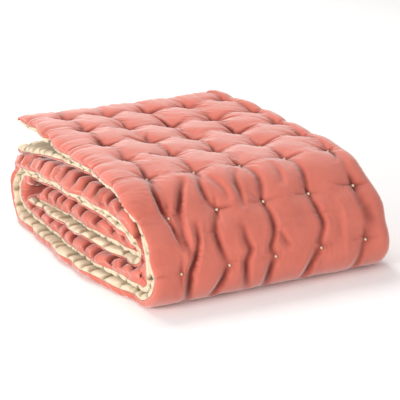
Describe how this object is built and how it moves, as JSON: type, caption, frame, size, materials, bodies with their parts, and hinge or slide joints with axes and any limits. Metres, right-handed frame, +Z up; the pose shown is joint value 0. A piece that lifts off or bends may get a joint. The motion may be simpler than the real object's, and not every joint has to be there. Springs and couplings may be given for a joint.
{
  "type": "folded bed runner",
  "caption": "Hand-tufted quilt with a coral velvet face and a cream cotton backing, doubled lengthwise and folded into a soft pile, to be laid on a bed, bench or shelf.",
  "frame": {"origin": "On the resting surface, under the middle of the folded pile", "axes": "+Y runs from the round front fold to the free end of the top flap, +X from the open hems to the lengthwise fold, +Z is up"},
  "size_m": [0.4406, 0.487, 0.1777],
  "materials": {
    "coral_velvet": "matte",
    "cream_cotton": "matte"
  },
  "bodies": {
    "root": {"velvet_face": "coral_velvet", "cotton_backing": "cream_cotton"}
  },
  "joints": []
}
